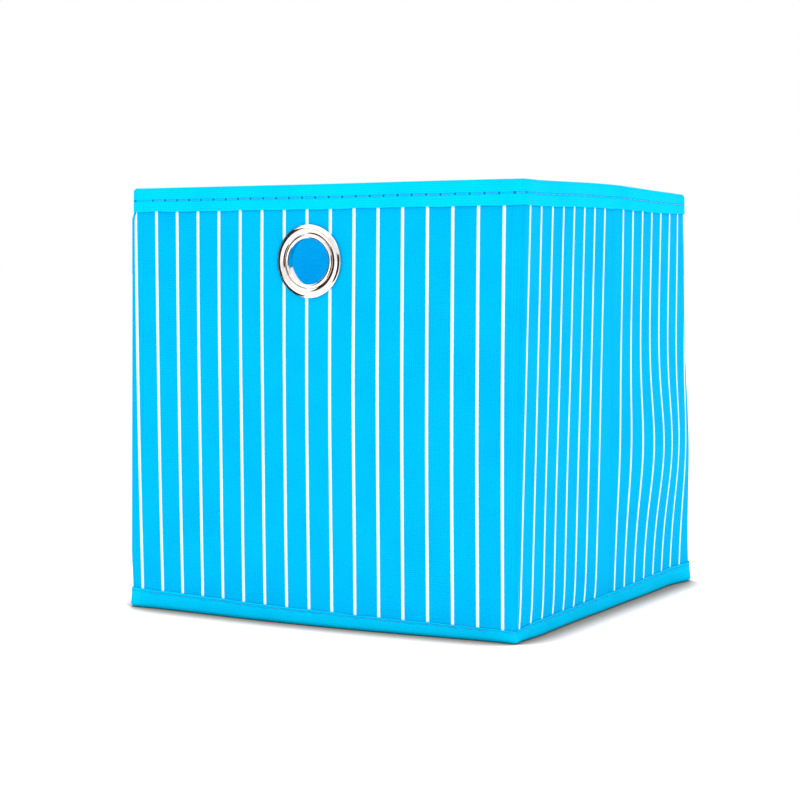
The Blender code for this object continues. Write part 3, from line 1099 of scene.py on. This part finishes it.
def add_insert(materials):
    """The loose base board in its fabric wrap, whose turned-in edges leave a window underneath."""
    low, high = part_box("insert_cover")
    half_x, half_y = high.x - INSERT_MARGIN, high.y - INSERT_MARGIN
    rounding = INSERT_ROUNDING
    wrap = rounded_slab("insert_wrap", half_x, half_y, low.z, high.z, rounding, open_under=True)
    solidify = wrap.modifiers.new("Thickness", "SOLIDIFY")
    solidify.thickness = WRAP_THICKNESS
    solidify.offset = -1.0
    reach_x, reach_y = half_x - rounding, half_y - rounding
    under = turn_ins(reach_x, reach_y, low.z, WRAP_TURN_IN, WRAP_THICKNESS)
    inset = 0.9 * MM
    board = rounded_slab(
        "insert_stiff_board",
        half_x - inset,
        half_y - inset,
        low.z + 0.8 * MM,
        high.z - 0.8 * MM,
        0.3 * MM,
    )
    wrap.data.materials.append(materials["insert"])
    under.data.materials.append(materials["insert"])
    board.data.materials.append(materials["board"])
    for obj in (wrap, under, board):
        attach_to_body(obj, "base_insert")
    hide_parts("insert_cover")
    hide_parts("insert_board")


# ---- stage


def direction(azimuth, elevation):
    """Away from the bin: azimuth from the front towards the right, and elevation, in degrees."""
    a, e = math.radians(azimuth), math.radians(elevation)
    return Vector((math.sin(a) * math.cos(e), -math.cos(a) * math.cos(e), math.sin(e)))


def add_camera():
    back = direction(*CAMERA_ANGLES)
    data = bpy.data.cameras.new("camera")
    data.lens = CAMERA_LENS
    data.sensor_width = 36.0
    data.clip_start = 0.05
    data.clip_end = 100.0
    camera = new_object("camera", data)
    camera.location = Vector(CAMERA_TARGET) + back * CAMERA_DISTANCE
    camera.rotation_mode = "QUATERNION"
    camera.rotation_quaternion = (-back).to_track_quat("-Z", "Y")
    bpy.context.scene.camera = camera


def add_flag(name, azimuth, elevation, distance, width, height):
    """A dark card that only mirror-like surfaces show, to give the metal its dark bands."""
    away = direction(azimuth, elevation)
    bm = bmesh.new()
    bmesh.ops.create_grid(bm, x_segments=1, y_segments=1, size=1.0)
    half_x, half_y = (distance * math.tan(math.radians(angle)) for angle in (width, height))
    bmesh.ops.scale(bm, verts=bm.verts, vec=(half_x, half_y, 1.0))
    mesh = mesh_from(name, bm)
    card = new_object(name, mesh)
    card.location = Vector((EYELET_X, -HALF, EYELET_Z)) + away * distance
    card.rotation_mode = "QUATERNION"
    card.rotation_quaternion = away.to_track_quat("Z", "Y")
    card.visible_camera = False
    card.visible_diffuse = False
    card.visible_shadow = False
    n = Nodes(name)
    n.shader.inputs["Base Color"].default_value = FLAG_DARK
    n.shader.inputs["Specular IOR Level"].default_value = 0.0
    mesh.materials.append(n.material)


def add_stage():
    """A pale floor with a painted contact shadow round the bin, an even white room, two broad soft lights
    and the dark cards.
    """
    bm = bmesh.new()
    bmesh.ops.create_grid(bm, x_segments=1, y_segments=1, size=40.0)
    mesh = mesh_from("floor", bm)
    floor = new_object("floor", mesh)
    floor.location = (0.0, 0.0, -0.0002)
    n = Nodes("pale floor")
    n.shader.inputs["Roughness"].default_value = 1.0
    n.shader.inputs["Specular IOR Level"].default_value = 0.0
    # Painted contact shadow: near the bin the floor's colour darkens towards FLOOR_SHADE and its glow
    # fades out.
    around = n.add("ShaderNodeAmbientOcclusion", samples=16)
    around.inputs["Distance"].default_value = 40 * MM
    free = n.ramp(around.outputs["AO"], 0.52, 0.92)
    n.link(n.mix(free, FLOOR_SHADE, FLOOR_PALE), n.shader.inputs["Base Color"])
    n.shader.inputs["Emission Color"].default_value = FLOOR_GLOW
    n.link(n.math("MULTIPLY", free, 0.55), n.shader.inputs["Emission Strength"])
    mesh.materials.append(n.material)
    world = bpy.data.worlds.new("room")
    bpy.context.scene.world = world
    world.use_nodes = True
    background = world.node_tree.nodes["Background"]
    background.inputs["Color"].default_value = (1.0, 1.0, 1.0, 1.0)
    background.inputs["Strength"].default_value = 1.0
    for name, azimuth, elevation, power, spread in LIGHTS:
        light = bpy.data.lights.new(name, "SUN")
        light.energy = power
        light.angle = math.radians(spread)
        obj = new_object(name, light)
        obj.rotation_mode = "QUATERNION"
        back = direction(azimuth, elevation)
        obj.rotation_quaternion = (-back).to_track_quat("-Z", "Y")
    for flag in FLAGS:
        add_flag(*flag)
    bpy.context.scene.view_settings.view_transform = "Standard"


def stitch_rows(top):
    """Where a tape's two stitch rows lie, along its outer profile."""
    row = TOP_STITCH_HEIGHT - TOP_TAPE_LOW if top else BOTTOM_TAPE_HIGH - BOTTOM_STITCH_HEIGHT
    outer, _ = tape_profiles(top)
    return row, path_lengths(np.array(outer))[-1] - row


def main():
    add_camera()
    top, bottom = stitch_rows(True), stitch_rows(False)
    materials = {
        "cover": cloth_material("striped cloth", BLUE, BLUE_PIT, striped=True),
        # The same tape with different pricks: strong needle-hole dents and painted shade on the front's
        # top tape, faint ones on the side and bottom tapes.
        "top_tape": cloth_material("top tape", TAPE_BLUE, TAPE_PIT, rows=top, pricks=0.8),
        "side_tape": cloth_material("side tape", TAPE_BLUE, TAPE_PIT, rows=top, pricks=0.2),
        "bottom_tape": cloth_material("bottom tape", LOW_TAPE_BLUE, TAPE_PIT, rows=bottom, pricks=0.1),
        "plain": cloth_material("plain cover cloth", BLUE, BLUE_PIT),
        "lining": cloth_material("lining cloth", LINING_BLUE, LINING_PIT),
        "insert": cloth_material("insert wrap", LINING_BLUE, LINING_PIT),
        "board": board_material(),
        "metal": metal_material(),
        "thread": thread_material(),
    }
    add_walls(materials)
    add_eyelet(materials["metal"])
    add_corner_sleeve(materials["plain"])
    add_base(materials["lining"])
    add_insert(materials)
    add_stage()


main()
